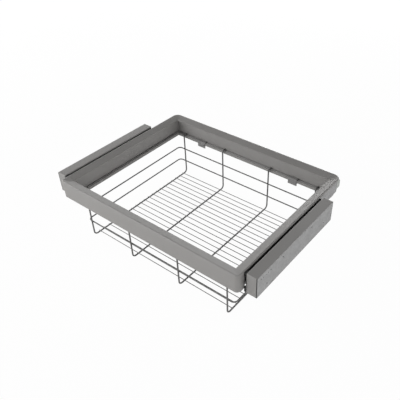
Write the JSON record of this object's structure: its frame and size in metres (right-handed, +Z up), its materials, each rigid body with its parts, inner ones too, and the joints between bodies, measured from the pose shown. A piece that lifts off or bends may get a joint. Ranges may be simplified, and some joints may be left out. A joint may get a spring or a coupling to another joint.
{
  "type": "pull-out wire drawer",
  "caption": "Pull-out wardrobe drawer: painted metal frame with a wire basket, on telescopic ball slides in two side housings.",
  "frame": {"origin": "under the middle of the drawer frame, on the surface the basket stands on", "axes": "+X to the right as the user faces the drawer, -Y towards the user (the drawer pulls out this way), +Z up"},
  "size_m": [0.704, 0.5015, 0.201],
  "materials": {
    "frame_paint": "satin grey powder coat",
    "wire_paint": "satin dark grey powder coat",
    "housing_paint": "satin grey powder coat",
    "zinc": "plated zinc, soft sheen",
    "slide_black": "black electrocoat",
    "bearing_steel": "polished balls",
    "cage_plastic": "natural acetal",
    "black_plastic": "moulded, matte",
    "cap_plastic": "moulded, pale grey",
    "rubber": "matte"
  },
  "bodies": {
    "housings": {"right_housing_cover": "housing_paint", "left_housing_cover": "housing_paint", "right_wall_plate": "zinc", "left_wall_plate": "zinc", "right_slide_brackets": "housing_paint", "left_slide_brackets": "housing_paint", "right_cabinet_rivets": "zinc", "left_cabinet_rivets": "zinc", "right_cabinet_member": "slide_black", "left_cabinet_member": "slide_black", "right_front_buffer": "black_plastic", "left_front_buffer": "black_plastic", "right_rear_buffer": "rubber", "left_rear_buffer": "rubber"},
    "drawer": {"front_rail": "frame_paint", "back_rail": "frame_paint", "right_rail": "frame_paint", "left_rail": "frame_paint", "right_front_corner": "frame_paint", "left_front_corner": "frame_paint", "right_back_corner": "frame_paint", "left_back_corner": "frame_paint", "right_slide_carrier": "zinc", "left_slide_carrier": "zinc", "right_carrier_end_cap": "cap_plastic", "left_carrier_end_cap": "cap_plastic", "right_carrier_screws": "zinc", "left_carrier_screws": "zinc", "right_drawer_member": "zinc", "left_drawer_member": "zinc", "right_drawer_rivets": "zinc", "left_drawer_rivets": "zinc", "basket_rim": "wire_paint", "basket_upper_ring": "wire_paint", "basket_lower_ring": "wire_paint", "basket_rib_1": "wire_paint", "basket_rib_2": "wire_paint", "basket_rib_3": "wire_paint", "basket_rib_4": "wire_paint", "basket_floor_wires": "wire_paint", "basket_clips": "wire_paint", "clip_screws": "zinc"},
    "right_middle_slide": {"right_middle_member": "zinc"},
    "right_outer_bearing": {"right_outer_ball_cage": "cage_plastic", "right_outer_balls": "bearing_steel"},
    "right_inner_bearing": {"right_inner_ball_cage": "cage_plastic", "right_inner_balls": "bearing_steel"},
    "left_middle_slide": {"left_middle_member": "zinc"},
    "left_outer_bearing": {"left_outer_ball_cage": "cage_plastic", "left_outer_balls": "bearing_steel"},
    "left_inner_bearing": {"left_inner_ball_cage": "cage_plastic", "left_inner_balls": "bearing_steel"}
  },
  "joints": [
    {"name": "drawer_pull", "type": "slide", "parent": "housings", "child": "drawer", "axis": [0, -1, 0], "range_m": [0, 0.33]},
    {"name": "right_middle_slide_travel", "type": "slide", "parent": "housings", "child": "right_middle_slide", "axis": [0, -1, 0], "range_m": [0, 0.165]},
    {"name": "right_outer_bearing_travel", "type": "slide", "parent": "housings", "child": "right_outer_bearing", "axis": [0, -1, 0], "range_m": [0, 0.0825]},
    {"name": "right_inner_bearing_travel", "type": "slide", "parent": "housings", "child": "right_inner_bearing", "axis": [0, -1, 0], "range_m": [0, 0.2475]},
    {"name": "left_middle_slide_travel", "type": "slide", "parent": "housings", "child": "left_middle_slide", "axis": [0, -1, 0], "range_m": [0, 0.165]},
    {"name": "left_outer_bearing_travel", "type": "slide", "parent": "housings", "child": "left_outer_bearing", "axis": [0, -1, 0], "range_m": [0, 0.0825]},
    {"name": "left_inner_bearing_travel", "type": "slide", "parent": "housings", "child": "left_inner_bearing", "axis": [0, -1, 0], "range_m": [0, 0.2475]}
  ],
  "couplings": [
    {"joint": "right_middle_slide_travel", "follows": "drawer_pull", "ratio": 0.5},
    {"joint": "right_outer_bearing_travel", "follows": "drawer_pull", "ratio": 0.25},
    {"joint": "right_inner_bearing_travel", "follows": "drawer_pull", "ratio": 0.75},
    {"joint": "left_middle_slide_travel", "follows": "drawer_pull", "ratio": 0.5},
    {"joint": "left_outer_bearing_travel", "follows": "drawer_pull", "ratio": 0.25},
    {"joint": "left_inner_bearing_travel", "follows": "drawer_pull", "ratio": 0.75}
  ]
}
